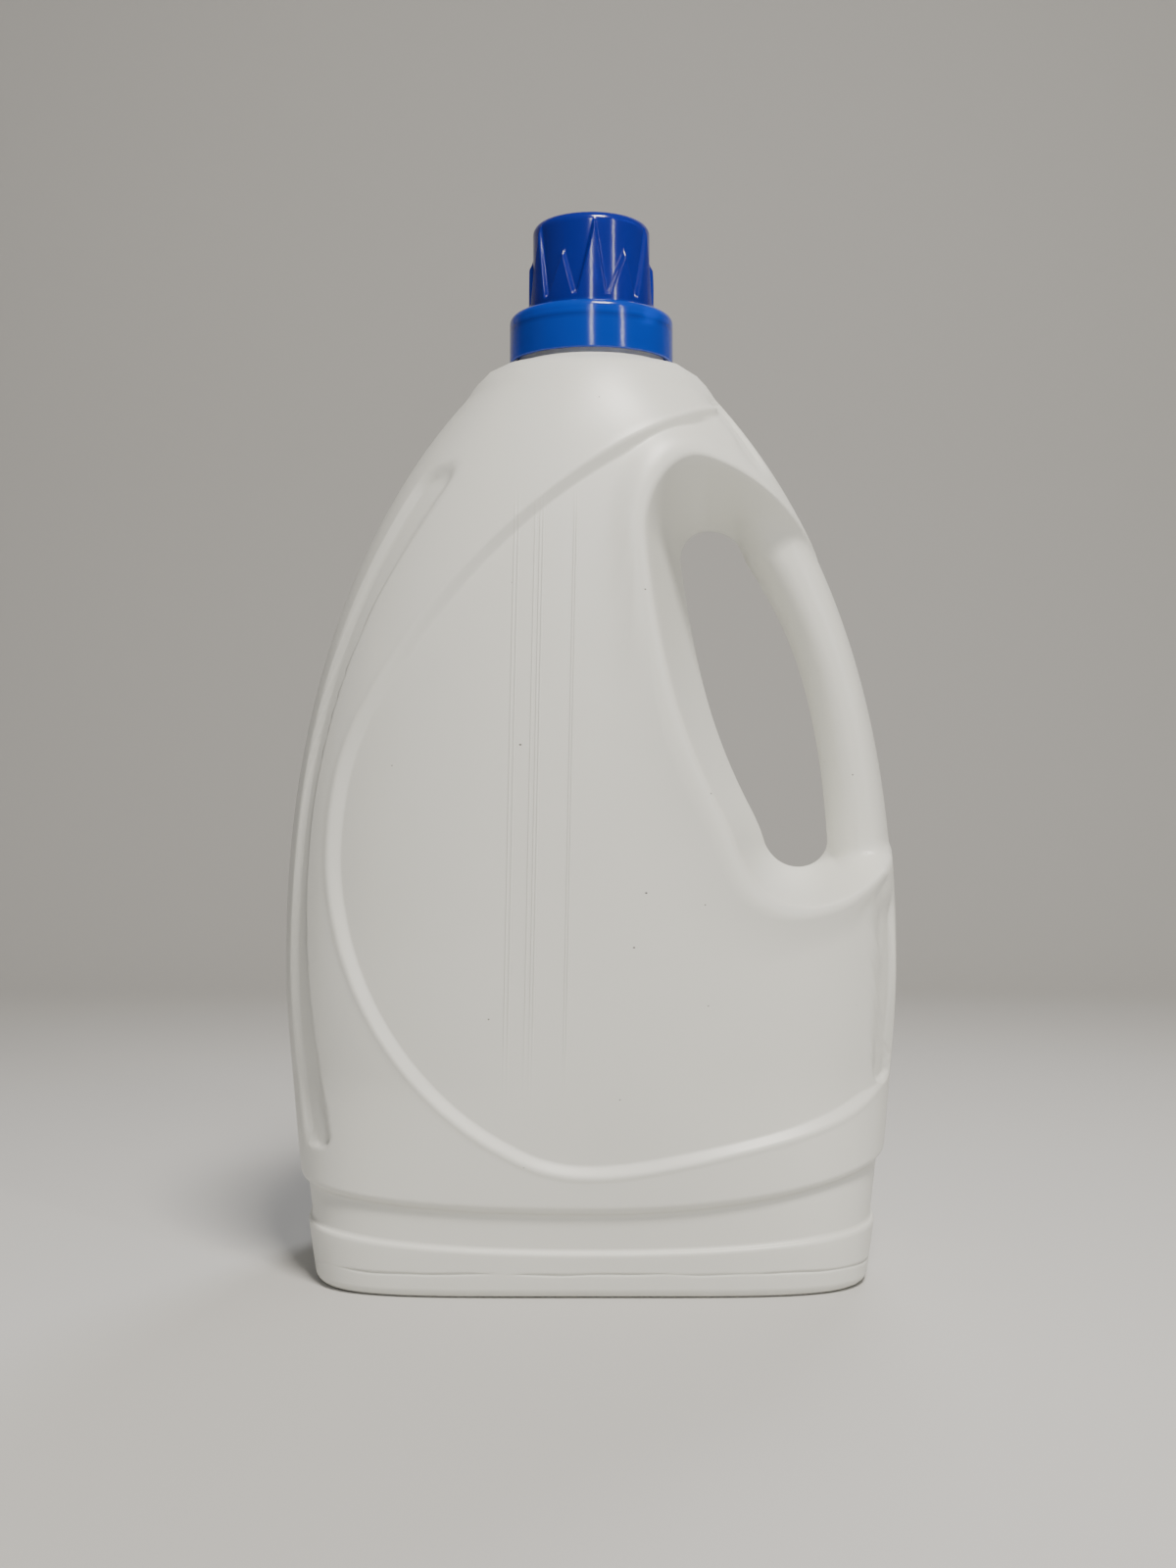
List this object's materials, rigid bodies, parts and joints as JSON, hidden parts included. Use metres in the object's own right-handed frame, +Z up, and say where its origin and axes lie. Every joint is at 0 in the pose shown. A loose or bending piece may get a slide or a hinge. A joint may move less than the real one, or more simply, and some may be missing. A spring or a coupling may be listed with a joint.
{
  "type": "fabric softener bottle",
  "caption": "Tall blow-moulded jug with a hollow side handle, a pour spout pressed into its round neck and a dosing cap over it.",
  "frame": {"origin": "on the standing plane, below the middle of the bottle and on its parting plane", "axes": "+Z up, +X towards the handle, -Y towards the front face"},
  "size_m": [0.1849, 0.1018, 0.3153],
  "materials": {
    "bottle_hdpe": "blow-moulded, soft satin gloss",
    "spout_pe": "natural moulded polyethylene",
    "cap_pp": "tinted clear polypropylene, glossy"
  },
  "bodies": {
    "jug": {"bottle": "bottle_hdpe", "pour_spout": "spout_pe"},
    "cap": {"dosing_cap": "cap_pp"}
  },
  "joints": [
    {"name": "cap_lift", "type": "slide", "parent": "jug", "child": "cap", "axis": [0, 0, 1], "range_m": [0, 0.06]}
  ]
}
